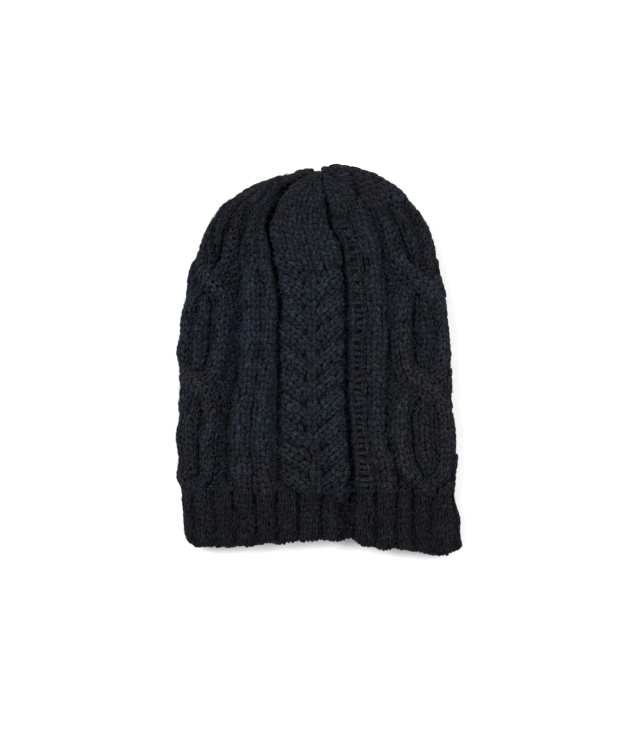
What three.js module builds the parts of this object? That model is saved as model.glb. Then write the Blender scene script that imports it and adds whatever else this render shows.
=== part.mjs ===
import * as THREE from 'three';

// A cable-knit hat lying flat on its back layer. Millimetres.
// +X is to the right of the front layer, +Y runs from the opening to the crown, +Z is up.
// The origin is on the surface that the hat rests on, under the middle of its outline.

// Driving dimensions
const BODY_WALL = 5.5;
const BRIM_WALL = 5;
const PIECE_GAP = 0.3;
const FLATNESS = 4;          // power of the flattened section: higher means squarer side folds
const FLOOR_CONTACT = 0.78;  // part of the under layer's roundness above which it lies on the surface

const RIBS_ACROSS = 12;
const RIB_DEPTH = 3;
const FIRST_RIB = -94;       // X of the outermost rib valleys on each side
const LAST_RIB = 99;
const SIDE_RIB = [0, 0.12, 0.5];  // the points of the brim's outline from a side fold to the nearest valley

const STRAND_HEIGHT = 2.5;   // how far the cables stand up from the knitted ground
const OVAL_LENGTH = 77;      // one link of the oval cables
const OVAL_CROSSING = -19;   // Y where the strands of an oval cable cross

// The courses of knitting, from the hem to the gather. y is the height at the middle of the front;
// liftLeft and liftRight are how much higher the course runs at each side fold.
// left and right are the X of the side folds.
// cableLeft, gutterLeft, gutterRight and cableRight are the X of the four sunken lines between the panels.
// sinkLeft and sinkRight are the depth of the two inner ones.
// under and top are the heights of the two layers.
const COURSE_COLUMNS = [
  'y', 'liftLeft', 'liftRight', 'left', 'cableLeft', 'gutterLeft', 'gutterRight', 'cableRight', 'right',
  'sinkLeft', 'sinkRight', 'under', 'top',
];
const BRIM_COURSES = [
  [-133.5, 0, 0, -97, -67, -28, 22, 58, 105.5, 0, 0, 0, 21],
  [-126, 0, 0, -98.5, -67, -28, 22, 58, 105, 0, 0, 0, 22.5],
  [-115, 0, 0, -100.5, -67, -28, 22, 58, 104, 0, 0, 0, 23.5],
  [-105, 0, 0, -101.5, -67, -28, 23, 58, 101.5, 0, 0, 0, 23.5],
  [-98, 0, 0, -101.5, -67, -28, 24.5, 58.5, 100.5, 0, 0, 0, 24],
];
const BODY_COURSES = [
  [-98, 0, 0, -101.5, -67, -28, 24.5, 58.5, 100.5, 1, 4, 0, 24],
  [-85.5, 0, 0, -104, -67.5, -29.5, 26, 58, 101, 3, 5, 0, 28],
  [-70.5, 0, 0, -103.5, -68.5, -30, 24.5, 54.5, 101, 3, 5, 0, 30],
  [-59, 0, 0, -105.5, -69, -30, 23, 52, 101.5, 3, 5, 0, 31],
  [-41, 0, 0, -103.5, -67, -30, 21.5, 51, 100, 3, 4, 0, 31.5],
  [-18.5, 0, 0, -103.5, -62, -30, 21, 51.5, 98, 3, 3.5, 0, 32],
  [3.5, 0, 0, -104, -62, -30, 20.5, 52, 97.5, 3, 3.5, 0, 32],
  [26, 0, 0, -103.5, -60.5, -29.5, 20.5, 52.5, 95.5, 3, 3.5, 0, 32],
  [41, 0, 0, -100, -59.5, -29.5, 20.5, 51, 94.5, 3, 3.5, 0, 32],
  [55, 1, 1, -97, -59, -30.5, 20.5, 49, 91.5, 3.5, 4, 0, 31.5],
  [66, 4.5, 4.5, -93.5, -58, -33.5, 19.5, 48.5, 88, 4, 4, 0, 31],
];
const CROWN_COURSES = [
  [66, 4.5, 4.5, -93.5, -58, -33.5, 19.5, 48.5, 88, 4, 4, 0, 31],
  [74.5, 9, 7, -88.5, -57.5, -35, 18, 47.5, 85.5, 5, 4.5, 0, 30.5],
  [84.5, 15.5, 12.5, -82.5, -57.5, -36, 15, 46, 81, 6.5, 5, 0, 30],
  [95.5, 17, 13, -74, -55, -37, 9.5, 42, 75, 7, 5, 0, 29],
  [106, 15, 12, -62.5, -50, -34, 7, 38, 67, 7, 5, 0, 28],
  [115.5, 13, 12, -49.5, -42, -28.5, 5.5, 32, 57, 6, 4.5, 0, 26.5],
  [124, 11, 12, -35.5, -31.5, -22, 4.5, 24.5, 44.5, 5, 4, 0.5, 24.5],
  [130.5, 8, 10.5, -21.5, -18.5, -13.5, 3, 16, 29.5, 3, 3, 2, 22],
  [134.5, 7, 10, -10.5, -8.5, -6.5, 1.5, 8, 14, 1.5, 1.5, 5, 19],
  [136.5, 3.5, 3.5, -5, -3.5, -2.5, 0.5, 2, 3.5, 0, 0, 8, 15.5],
];
const CLOSED_INSIDE = 7;  // the crown course where the hollow ends, below the solid knot of drawn-in stitches
const CROWN_THICKENING = 1.6;  // how many walls lower the hollow's end is than the same course outside

// How far below the lowest course the hem hangs, from the left fold (across is -1) to the right fold (1)
const HEM_DROP = [
  { across: -1, drop: 3.5 },
  { across: -0.8, drop: 5.5 },
  { across: -0.5, drop: 4 },
  { across: -0.2, drop: 1 },
  { across: 0, drop: 0 },
  { across: 0.1, drop: 1.3 },
  { across: 0.2, drop: -1.4 },
  { across: 0.3, drop: 4.8 },
  { across: 0.6, drop: 7.5 },
  { across: 0.83, drop: 11.2 },
  { across: 0.9, drop: 11.8 },
  { across: 1, drop: 6 },
];
const HEM_Y = -133.5;
const BRIM_TOP_Y = -98;

// Creases and dents in the front layer, each along a straight stretch
const FOLDS = [
  { name: 'brim_crease', from: [25, -92], to: [17, -133], width: 6, depth: 4 },
  { name: 'right_shoulder', from: [62, 112], to: [71, 92], width: 6, depth: 2.5 },
  { name: 'right_upper', from: [60, 82], to: [76, 66], width: 6, depth: 2 },
  { name: 'left_shoulder', from: [-61, 106], to: [-76, 74], width: 6, depth: 2.5 },
  { name: 'left_oval', from: [-76, 43], to: [-78, 15], width: 7, depth: 3 },
  { name: 'right_oval', from: [70, 30], to: [72, 5], width: 7, depth: 3 },
];

// The lines of stitches across one layer: between which two sunken lines they lie, as shares of the way
// from one to the other, and what the panel there carries
const PANELS = [
  { from: 'left', to: 'cableLeft', lines: [0, 0.1, 0.22, 0.36, 0.5, 0.64, 0.78, 0.9], carries: 'oval' },
  { from: 'cableLeft', to: 'gutterLeft', lines: [0, 0.2, 0.42, 0.54, 0.66, 0.9], carries: 'ribs' },
  { from: 'gutterLeft', to: 'gutterRight', lines: [0, 0.12, 0.31, 0.5, 0.69, 0.88], carries: 'leaf' },
  { from: 'gutterRight', to: 'cableRight', lines: [0, 0.12, 0.36, 0.46, 0.58, 0.8], carries: 'ribs' },
  { from: 'cableRight', to: 'right', lines: [0, 0.1, 0.22, 0.36, 0.5, 0.64, 0.78, 0.9, 1], carries: 'oval' },
];

const YARN = new THREE.MeshStandardMaterial({ color: 0x1d1f26, roughness: 0.95, metalness: 0 });

function course(values) {
  return Object.fromEntries(COURSE_COLUMNS.map((name, i) => [name, values[i]]));
}

// How raised each panel is above the knitted ground
const RELIEF = {
  ribs: (share) => 1.4 * Math.abs(Math.sin(2 * Math.PI * share)),
  leaf: (share) => {
    const wave = 0.55 + 0.45 * Math.cos(4 * Math.PI * (share - 0.25));
    return STRAND_HEIGHT * wave * Math.min(1, 8 * share);
  },
  oval: (share, y) => {
    const opening = 0.3 * Math.abs(Math.sin(Math.PI * (y - OVAL_CROSSING) / OVAL_LENGTH));
    const away = Math.min(Math.abs(share - 0.52 - opening), Math.abs(share - 0.52 + opening));
    return STRAND_HEIGHT * Math.max(0, 1 - (away / 0.2) ** 2);
  },
};

function between(table, key, value, at) {
  const next = table.findIndex((row) => row[key] >= at);
  if (next <= 0) return table[next === 0 ? 0 : table.length - 1][value];
  const low = table[next - 1];
  const high = table[next];
  return low[value] + (high[value] - low[value]) * (at - low[key]) / (high[key] - low[key]);
}

function foldDepth(x, y) {
  let depth = 0;
  for (const fold of FOLDS) {
    const [ax, ay] = fold.from;
    const [bx, by] = fold.to;
    const along = ((x - ax) * (bx - ax) + (y - ay) * (by - ay)) / ((bx - ax) ** 2 + (by - ay) ** 2);
    const t = THREE.MathUtils.clamp(along, 0, 1);
    const away = Math.hypot(x - ax - t * (bx - ax), y - ay - t * (by - ay));
    depth = Math.max(depth, fold.depth * Math.exp(-((away / fold.width) ** 2)));
  }
  return depth;
}

// A point of one course: x across, side 1 for the front layer and -1 for the under layer,
// relief for what stands up from the layer, sink for what is pressed into it
function layerPoint(row, x, side, relief, sink, wall) {
  const middle = (row.left + row.right) / 2;
  const half = (row.right - row.left) / 2;
  const across = THREE.MathUtils.clamp((x - middle) / half, -1, 1);
  const round = Math.sqrt(1 - Math.abs(across) ** FLATNESS);
  const lift = across < 0 ? row.liftLeft : row.liftRight;
  const fade = THREE.MathUtils.clamp((BRIM_TOP_Y - row.y) / (BRIM_TOP_Y - HEM_Y), 0, 1);
  const y = row.y + lift * across ** 2 - between(HEM_DROP, 'across', 'drop', across) * fade;
  const fold = row.under + 0.45 * (row.top - row.under);
  const inset = (half - wall) / half;
  const px = middle + (x - middle) * inset;
  if (side > 0) {
    const dent = Math.max(foldDepth(x, y), sink);
    return [px, y, fold + (row.top - fold - wall - dent + relief) * round];
  }
  const contact = Math.min(1, round / FLOOR_CONTACT);
  return [px, y, fold - (fold - row.under - wall) * contact];
}

// The X, relief and sink of every line of stitches of the body and crown, round one course
function panelLines(row) {
  const front = [];
  for (const panel of PANELS) {
    const start = row[panel.from];
    const width = row[panel.to] - start;
    const gutterSink = { gutterLeft: row.sinkLeft, gutterRight: row.sinkRight }[panel.from] ?? 0;
    for (const share of panel.lines) {
      const x = start + width * share;
      const relief = RELIEF[panel.carries](share, row.y);
      const sink = share === 0 ? gutterSink : 0;
      front.push({ x, relief, sink, side: 1 });
    }
  }
  const under = front.slice(1, -1).reverse().map((line) => ({ x: line.x, relief: 0, sink: 0, side: -1 }));
  return [...front, ...under];
}

// The same for the brim: four lines to a rib, a valley first, and a rounded rib at each side fold
function ribLines(row) {
  const pitch = (LAST_RIB - FIRST_RIB) / RIBS_ACROSS;
  const line = (x, relief) => ({ x, relief, sink: 0, side: 1 });
  const front = SIDE_RIB.map((share) => line(row.left + (FIRST_RIB - row.left) * share, 0));
  for (let quarter = 0; quarter <= 4 * RIBS_ACROSS; quarter += 1) {
    const relief = RIB_DEPTH * (Math.sin(Math.PI * quarter / 4) ** 2 - 0.5);
    front.push(line(FIRST_RIB + pitch * quarter / 4, relief));
  }
  front.push(...SIDE_RIB.map((share) => line(row.right + (LAST_RIB - row.right) * share, 0)).reverse());
  const under = front.slice(1, -1).reverse().map((one) => ({ ...one, side: -1 }));
  return [...front, ...under];
}

// One course as a ring of points: the outer face has the relief, the inner one is a wall further in and plain
function outerRing(row, lines, rise) {
  return lines(row).map(({ x, relief, sink, side }) => {
    const [px, y, z] = layerPoint(row, x, side, relief, sink, 0);
    return [px, y + rise, z];
  });
}

function innerRing(row, lines, rise, wall) {
  return lines(row).map(({ x, sink, side }) => {
    const [px, y, z] = layerPoint(row, x, side, 0, sink, wall);
    return [px, y + rise, z];
  });
}

function middleOf(ring) {
  const sum = ring.reduce((total, point) => total.map((value, i) => value + point[i]), [0, 0, 0]);
  return sum.map((value) => value / ring.length);
}

// Joins a loop of rings into one closed skin. A ring of one point closes an end.
function skin(rings, closed) {
  const position = [];
  const starts = [];
  for (const ring of rings) {
    starts.push(position.length / 3);
    ring.forEach((point) => position.push(...point));
  }
  const index = [];
  const steps = closed ? rings.length : rings.length - 1;
  for (let step = 0; step < steps; step += 1) {
    const a = step;
    const b = (step + 1) % rings.length;
    const count = Math.max(rings[a].length, rings[b].length);
    for (let i = 0; i < count; i += 1) {
      const j = (i + 1) % count;
      const [a0, a1] = [i, j].map((k) => starts[a] + (k % rings[a].length));
      const [b0, b1] = [i, j].map((k) => starts[b] + (k % rings[b].length));
      if (rings[a].length > 1) index.push(a0, a1, b0);
      if (rings[b].length > 1) index.push(a1, b1, b0);
    }
  }
  const geometry = new THREE.BufferGeometry();
  geometry.setAttribute('position', new THREE.Float32BufferAttribute(position, 3));
  geometry.setIndex(index);
  geometry.computeVertexNormals();
  return geometry;
}

// A stretch of knitting open at both ends: up the outer face and back down the inner one
function openTube(courses, lines, wall, rise) {
  const rows = courses.map(course);
  const outer = rows.map((row) => outerRing(row, lines, rise));
  const inner = rows.map((row) => innerRing(row, lines, rise, wall));
  return skin([...outer, ...inner.reverse()], true);
}

// The crown is closed: the outer face runs into the gather, and the hollow ends a little below it
function closedCrown(courses, lines, wall, rise) {
  const rows = courses.map(course);
  const outer = rows.map((row) => outerRing(row, lines, rise));
  const lower = (k) => rise - CROWN_THICKENING * wall * k / (CLOSED_INSIDE - 1);
  const inner = rows.slice(0, CLOSED_INSIDE).map((row, k) => innerRing(row, lines, lower(k), wall));
  const gather = middleOf(outer.at(-1));
  const ceiling = middleOf(inner.at(-1));
  return skin([[ceiling], ...inner.reverse(), ...outer, [gather]], false);
}

function piece(name, geometry) {
  const mesh = new THREE.Mesh(geometry, YARN.clone());
  mesh.name = name;
  return mesh;
}

const hat = new THREE.Group();
hat.name = 'knit_hat';
hat.add(piece('rib_brim', openTube(BRIM_COURSES, ribLines, BRIM_WALL, 0)));
hat.add(piece('cable_body', openTube(BODY_COURSES, panelLines, BODY_WALL, PIECE_GAP)));
hat.add(piece('gathered_crown', closedCrown(CROWN_COURSES, panelLines, BODY_WALL, 2 * PIECE_GAP)));

export default hat;
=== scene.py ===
import math

import bpy
import numpy as np
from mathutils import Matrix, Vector


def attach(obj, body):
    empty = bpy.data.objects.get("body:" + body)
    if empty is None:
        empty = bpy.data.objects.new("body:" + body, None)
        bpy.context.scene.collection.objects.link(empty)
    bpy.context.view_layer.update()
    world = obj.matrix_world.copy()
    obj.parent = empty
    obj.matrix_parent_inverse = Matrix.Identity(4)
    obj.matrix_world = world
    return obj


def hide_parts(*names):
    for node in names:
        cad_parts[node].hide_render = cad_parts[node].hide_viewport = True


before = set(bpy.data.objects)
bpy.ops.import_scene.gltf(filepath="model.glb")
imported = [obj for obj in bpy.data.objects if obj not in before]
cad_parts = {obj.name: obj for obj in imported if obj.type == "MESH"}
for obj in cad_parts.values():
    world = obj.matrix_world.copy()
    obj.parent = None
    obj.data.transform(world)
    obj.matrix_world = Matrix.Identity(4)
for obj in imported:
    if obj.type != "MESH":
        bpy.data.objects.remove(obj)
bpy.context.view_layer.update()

# Lengths are in millimetres here and become metres when a mesh is made.
# The hat lies on its back layer, its opening towards -Y and its crown towards +Y.
MM = 0.001
rng = np.random.default_rng(7)

# The photograph's framing: the outline's middle in an image of this size, and the scale that its height gives
IMAGE_WIDTH, IMAGE_HEIGHT = 642, 749
MM_PER_PIXEL = 0.7417
OUTLINE_MIDDLE = (319.0, 360.0)
# The camera and the floor, in metres; only the sensor is in millimetres
CAMERA_HEIGHT = 1.6
FLOOR_REACH = 3.0
SENSOR = 36.0

# The form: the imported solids' courses and hem, and their folds a little narrower
STATIONS = ("left", "cable_left", "gutter_left", "gutter_right", "cable_right", "right")
COURSE_COLUMNS = ("y", "lift_left", "lift_right", *STATIONS, "sink_left", "sink_right", "under", "top")
COURSES = np.array([
    (-133.5, 0, 0, -97, -67, -28, 22, 58, 105.5, 0, 0, 0, 21),
    (-126, 0, 0, -98.5, -67, -28, 22, 58, 105, 0, 0, 0, 22.5),
    (-115, 0, 0, -100.5, -67, -28, 22, 58, 104, 0, 0, 0, 23.5),
    (-105, 0, 0, -101.5, -67, -28, 23, 58, 101.5, 0, 1, 0, 23.5),
    (-98, 0, 0, -101.5, -67, -28, 24.5, 58.5, 100.5, 1, 4, 0, 24),
    (-85.5, 0, 0, -104, -67.5, -29.5, 26, 58, 101, 3, 5, 0, 28),
    (-70.5, 0, 0, -103.5, -68.5, -30, 24.5, 54.5, 101, 3, 5, 0, 30),
    (-59, 0, 0, -105.5, -69, -30, 23, 52, 101.5, 3, 5, 0, 31),
    (-41, 0, 0, -103.5, -67, -30, 21.5, 51, 100, 3, 4, 0, 31.5),
    (-18.5, 0, 0, -103.5, -62, -30, 21, 51.5, 98, 3, 3.5, 0, 32),
    (3.5, 0, 0, -104, -62, -30, 20.5, 52, 97.5, 3, 3.5, 0, 32),
    (26, 0, 0, -103.5, -60.5, -29.5, 20.5, 52.5, 95.5, 3, 3.5, 0, 32),
    (41, 0, 0, -100, -59.5, -29.5, 20.5, 51, 94.5, 3, 3.5, 0, 32),
    (55, 1, 1, -97, -59, -30.5, 20.5, 49, 91.5, 3.5, 4, 0, 31.5),
    (66, 4.5, 4.5, -93.5, -58, -33.5, 19.5, 48.5, 88, 4, 4, 0, 31),
    (74.5, 9, 7, -88.5, -57.5, -35, 18, 47.5, 85.5, 5, 4.5, 0, 30.5),
    (84.5, 15.5, 12.5, -82.5, -57.5, -36, 15, 46, 81, 6.5, 5, 0, 30),
    (95.5, 17, 13, -74, -55, -37, 9.5, 42, 75, 7, 5, 0, 29),
    (106, 15, 12, -62.5, -50, -34, 7, 38, 67, 7, 5, 0, 28),
    (115.5, 13, 12, -49.5, -42, -28.5, 5.5, 32, 57, 6, 4.5, 0, 26.5),
    (124, 11, 12, -35.5, -31.5, -22, 4.5, 24.5, 44.5, 5, 4, 0.5, 24.5),
    (130.5, 8, 10.5, -21.5, -18.5, -13.5, 3, 16, 29.5, 3, 3, 2, 22),
    (134.5, 7, 10, -10.5, -8.5, -6.5, 1.5, 8, 14, 1.5, 1.5, 5, 19),
    (136.5, 3.5, 3.5, -5, -3.5, -2.5, 0.5, 2, 3.5, 0, 0, 8, 15.5),
], dtype=float)
HEM_DROP = (
    # across the front, from the left fold (-1) to the right fold (1), and how far the hem hangs there
    (-1, 3.5), (-0.8, 5.5), (-0.5, 4), (-0.2, 1), (0, 0), (0.1, 1.3), (0.2, -1.4), (0.3, 4.8),
    (0.6, 7.5), (0.83, 11.2), (0.9, 11.8), (1, 6),
)
CREASES = (
    # start, end, half width and depth of the solids' folds in the front layer
    ((25, -92), (17, -133), 5, 4),
    ((62, 112), (71, 92), 4, 2.5),
    ((60, 82), (76, 66), 4, 2),
    ((-61, 106), (-76, 74), 4, 2.5),
    ((-76, 43), (-78, 15), 7, 2),
    ((70, 30), (72, 5), 7, 2),
    # and of finer creases, which only the stitches have
    ((23, 141), (28, 120), 2.5, 5),
    ((7, 140), (11, 133), 2.2, 4.5),
    ((-61.5, 106), (-61, 97), 2.5, 3),
    ((-76.8, 101), (-76.8, 77), 2.5, 3.5),
    ((-52.3, 86), (-53.4, 74), 2.5, 2.5),
)
SWELLS = (
    # slow unevenness of the cloth: waves round the hat, millimetres up it to a wave, phase, and how far it
    # moves the cloth outward, sideways and up
    (9, 47, 0.4, 0.35, 0.30, 0.30),
    (13, -31, 2.1, 0.30, 0.30, 0.25),
    (17, 23, 4.4, 0.25, 0.25, 0.25),
    (6, -71, 1.2, 0.30, 0.35, 0.40),
    (23, 19, 5.3, 0.20, 0.15, 0.20),
)
HEM_Y, BRIM_TOP_Y, GATHER_Y = -133.5, -98.0, 136.5
FLATNESS = 4.0           # power of the flattened section: higher means squarer side folds
FLOOR_CONTACT = 0.78     # part of the under layer's roundness above which it lies on the surface
FOLD_HEIGHT = 0.45       # height of the side folds, from 0 at the under layer to 1 at the top
WALL = 5.0
SHELL_DEPTH = 3.9        # face of the cloth behind the stitches, below the solid's face
CROWN_SHALLOWER = 1.2    # how much less deep it is in the crown
FOLD_SHALLOWER = 0.45    # and the share by which it is less deep along the side folds
SINK_WIDTH = 2.0         # half width of the solid's grooves beside the middle cable
SINK_SPREAD = 0.25       # and how much wider they are for each millimetre of their depth
COURSE_BLUR = 1.8        # height over which the courses' columns are blurred
SWELL_END = 30.0         # height below the gather over which the swells die away

# The knitting
ROW = 4.6                # height of a row in the body
BRIM_ROWS = 9
YARN_INSET = 1.7         # centre of the yarn below the solid's face
FOLD_CALM = 0.8          # how much flatter the stitches are along the side folds
FOLD_REACH = 10.0        # how far from a fold they are so
FOLD_HEIGHTS = (-134, -113, -100, -50, -19, 5, 40, 75, 100, 118, 131, 135.5)
FOLD_INSETS = (
    # how much further in the yarn sits along the left and the right fold at those heights
    (0.4, -1.6, 0.0, -0.2, 0.2, 0.4, -0.2, 0.2, 0.5, 0.3, 1.8, -1.5),
    (-1.6, -1.2, 0.2, -2.0, 1.2, -1.2, -0.2, -1.0, -0.8, -0.3, -0.6, -2.8),
)
BRIM_BLEND = 6.0         # height over which grooves start and valleys end at the top of the brim
GROOVE_END = 20.0        # and height below the gather over which the grooves end
BRIM_FADE = 12.0         # height over which the cables and ribs rise from the top of the brim
CROWN_FADE = 18.0        # and over which they sink again below the crown's plain courses
LEG_SHARE = 0.25         # radius of one leg of a stitch, as a share of its line's width
THINNEST, THICKEST = 0.85, 2.0   # and the limits of that radius
# Random unevenness of single stitches: along their line, across it in widths, in width, thickness and height
SLIP, SHIFT, WIDENING, THICKENING, LIFTING = 0.07, 0.04, 0.10, 0.09, 0.25
LOOK_AHEAD = 0.05        # the stretch of a line, in stitches, that tells its direction
LOBE_SIDES = 6
TIP_LENGTH = 0.7         # of a lobe's pointed ends, in radii
LOWEST_YARN, LOWEST_GROUND = 0.15, 0.6   # how near the floor the stitches and the cloth behind them come
CROWN_START = 106.0      # the panels' patterns stop here and plain decreased courses run to the gather
CROWN_LINE_WIDTH = 6.6
NARROWEST_PANEL = 1.6    # narrower ones have no stitches of their own

OVAL_LENGTH = 76.0       # one link of the oval cables
OVAL_CROSSING = -19.0    # where their strands cross, measured up the middle
OVAL_HEIGHTS = (-98, -56, -19, 20, 136)
OVAL_CENTRES = {0: (0.36, 0.36, 0.41, 0.46, 0.46), 4: (0.45, 0.45, 0.48, 0.51, 0.51)}
OVAL_SPREAD = 0.33
OVAL_HOLLOW = 1.6        # how much deeper the cloth behind the ovals is
STRAND_WIDTH = 0.105     # one of a strand's three lines, as a share of the panel
STRAND_CLEARANCE = 0.045
STRAND_TURN = 2.2        # how sharply a strand turns over to the other side
CROSSING_REACH = 0.45    # the share of its bow within which it does so
STRAND_LIFT = 2.2        # how far out the strands lie
OVER, UNDER = 2.2, -3.0  # and how much further out or in where they cross
FOLD_SHARES = (0.03, 0.15, 0.27)  # plain lines between a side fold and the ovals, as shares of the panel
PURL_SHARES = {0: (0.66, 0.75, 0.84, 0.93), 4: (0.07, 0.16, 0.25, 0.34)}
PURL_PITCH = 0.09
PURL_LIFT = -2.6

LEAF_COUNT = 10
LEAF_PITCH = 17.6        # from one leaf of the middle cable to the next
LEAF_MIDDLE = 0.484
LEAF_REACH = (0.05, 0.45)
LEAF_WIDTH = 6.6         # one of a leaf's two lines
LEAF_ROOT, LEAF_CREST = -2.0, 4.0  # how far in its ends lie, and how much further out its middle
PLAIN_WIDTH = 0.14       # the plain lines beside and above the leaves, as shares of the panel
PLAIN_SHARES = (0.07, 0.21, 0.35, 0.63, 0.77, 0.92)
LEAVES = {
    # -1 the left side and 1 the right: height of the top leaf's root, how far it climbs, how much it bends
    # over, and its stitches
    -1: (59.3, 16.3, 0.45, 5.7),
    1: (44.5, 20.0, 0.05, 6.2),
}

# The grooves between the panels: place round the front, how much deeper than the solid's face the cloth is
# there at each height up the middle, and how far the groove reaches to its left and to its right there
GROOVE_HEIGHTS = (-98, -60, -20, 30, 66, 84, 98, 112, 121, 128, 136)
GROOVE_DEPTHS = {
    1.0: (2, 2.5, 2.5, 2.5, 2.5, 2, 1.5, 1, 1, 1, 0),
    2.0: (1, 2.6, 3.4, 3.4, 3.2, 3.8, 7.5, 9.5, 6.5, 0.5, 0),
    3.0: (4, 3.8, 3.2, 3.2, 3.6, 4, 4.5, 4, 2.8, 1.2, 0),
    3.96: (5, 5, 4, 3, 3, 2.5, 2, 1.5, 1, 1, 0),
}
GROOVE_REACHES = {
    1.0: ((3, 3, 3, 3, 3, 2.5, 2, 2, 2, 2, 2),) * 2,
    2.0: ((1.4, 1.5, 1.6, 1.6, 2.0, 4, 9, 11, 9, 4, 2),
          (1.4, 1.5, 1.5, 1.5, 1.4, 1.4, 1.5, 1.8, 1.6, 1.4, 1)),
    3.0: ((1.7, 1.5, 1.4, 1.4, 1.6, 1.7, 1.8, 1.8, 1.6, 1.4, 1),) * 2,
    3.96: ((1.7, 1.7, 1.8, 2.5, 2.5, 2.2, 2, 2, 2, 2, 2),) * 2,
}
SOFT_REACH = 3.5         # a groove that reaches further than this has soft slopes
GROOVE_YARN = 0.8        # how far the yarn follows the cloth into a groove
# Lines of purl bumps in the grooves: panel and share of it
GROOVE_LINES = ((0, 0.97), (1, 0.07), (1, 0.97), (2, 0.01), (2, 0.99), (3, 0.01), (3, 0.93))

# Where the ribs beside the middle cable lie, as shares of their panels at heights up the middle
RIB_HEIGHTS = (-98, -80, -55, -30, 3, 60, 136)
LEFT_RIBS = ((0.12, 0.10, 0.08, 0.07, 0.13, 0.13, 0.13),
             (0.50, 0.49, 0.47, 0.46, 0.56, 0.55, 0.55),
             (0.94, 0.88, 0.82, 0.82, 0.96, 0.96, 0.95))
RIGHT_RIBS = ((0.05, 0.05, 0.04, 0.03, 0.08, 0.06, 0.06),
              (0.51, 0.51, 0.50, 0.46, 0.46, 0.48, 0.48),
              (0.99, 0.98, 0.95, 0.88, 0.93, 0.95, 0.95))

RIB_LIFT = 1.6
LADDER_EDGE = 1.35       # how far from the ladder's middle its edges lie, in their own widths
LADDER_CHANGE = 8.0      # above this height the ladder's rungs lie in pairs
RUNG_SLIP = 0.16         # of a row, by which the two of a pair are moved together

# The brim's valleys across the front: X at the top of the brim and at the hem
VALLEYS = (
    (-94, -93), (-79, -75.5), (-64, -61), (-47.5, -46), (-30.5, -30.5), (-15, -15), (2, 1), (17, 17.5),
    (24, 24), (41.5, 41), (57.5, 56.5), (69, 70), (83, 84.5), (99.5, 102.5),
)
VALLEY_WIDTH = 4.0
VALLEY_DEPTH = 4.5
NARROW_RIB = 10.0        # a rib narrower than this has one line of stitches
RIB_ROUNDNESS = 8.0      # four times how much deeper than its middle a rib's edges lie
NARROW_LIFT = -3.0       # a narrow rib is sunken
BRIM_START = 0.45        # how many rows above the hem the ribs start
ROW_SHIFT = 0.2          # how many rows one line of a rib may be above its neighbour
HEM_LOOPS = 186
HEM_WAVE = 0.8           # how far the hem follows the brim's valleys
HEM_RADIUS = 1.35
HEM_RISE = 4.2           # how far above the solid's hem the loops start and end
HEM_SAG = 2.6            # and how much lower they hang in between
HEM_LIFT = -1.6          # they get the painted shade of yarn that lies this deep
INSIDE_LIFT = 3.4        # the inside's ribs stand in from the wall, behind the outside's valleys
BRIM_HEIGHTS = (-140, -112, -96)
BRIM_LIFTS = (-0.8, -0.9, 0.4)   # how far out the ribs' middle lines lie at those heights

INSIDE_TOP = 118         # the last course of the inside
INSIDE_DROP = 7.0        # how much lower the inside ends than the same course outside
INSIDE_WAVE = 0.45       # height of the loops that the inside shows

HAIRS = 10000
HAIR_POINTS = 3
HAIR_RADIUS = 0.12
FRONT_HAIRS = 0.72       # share of the hairs that are on the front

ROOT_SHADE = 0.42        # painted shade: how much darker a stitch is at its ends and underneath than along its crest
STITCH_CONTRAST = 0.28   # how much lighter or darker one stitch is than another
DEPTH_SHADE = 0.09       # painted shade: how much darker the yarn is for each millimetre that it lies deeper, and lighter further out
SHADE_AT_FACE = 0.80
DARKEST, LIGHTEST = 0.25, 1.1
# The yarn is darker at the brim and near the crown.
SHADE_HEIGHTS = (-134, -99, -94, 55, 100, 136)
SHADES = (0.81, 0.83, 1.01, 1.01, 0.88, 0.85)
# Painted shade that darkens the inside's ribs
INSIDE_SHADE = 0.75
CREASE_SHADE = 0.8       # painted shade: how much of a crease's or a groove's depth darkens the yarn in it


def smooth(values, sigma):
    """Values along a line, blurred, with the ends held."""
    reach = int(math.ceil(3 * sigma))
    kernel = np.exp(-0.5 * (np.arange(-reach, reach + 1) / sigma) ** 2)
    kernel /= kernel.sum()
    padded = np.pad(values, reach, mode="reflect", reflect_type="odd")
    return np.convolve(padded, kernel, mode="valid")


def ramp(values, length):
    """0 up to nothing, 1 from a length on, and straight in between."""
    return np.clip(values / length, 0, 1)


def columns(*parts):
    """Arrays side by side, along a new last axis."""
    return np.stack(parts, axis=-1)


HEIGHT_STEP = 0.5
HEIGHTS = np.arange(HEM_Y, GATHER_Y + HEIGHT_STEP / 2, HEIGHT_STEP)
ROWS = {
    name: smooth(np.interp(HEIGHTS, COURSES[:, 0], column), COURSE_BLUR / HEIGHT_STEP)
    for name, column in zip(COURSE_COLUMNS, COURSES.T)
}
ROWS["y"] = HEIGHTS
ROWS["middle"] = (ROWS["left"] + ROWS["right"]) / 2
ROWS["half"] = (ROWS["right"] - ROWS["left"]) / 2


def crease_depth(x, y):
    """How deep the folds and creases of the front layer are at places seen from above."""
    depth = np.zeros_like(x)
    for (ax, ay), (bx, by), width, deep in CREASES:
        t = ((x - ax) * (bx - ax) + (y - ay) * (by - ay)) / ((bx - ax) ** 2 + (by - ay) ** 2)
        t = np.clip(t, 0, 1)
        away = np.hypot(x - ax - t * (bx - ax), y - ay - t * (by - ay))
        depth = np.maximum(depth, deep * np.exp(-((away / width) ** 2)))
    return depth


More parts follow.
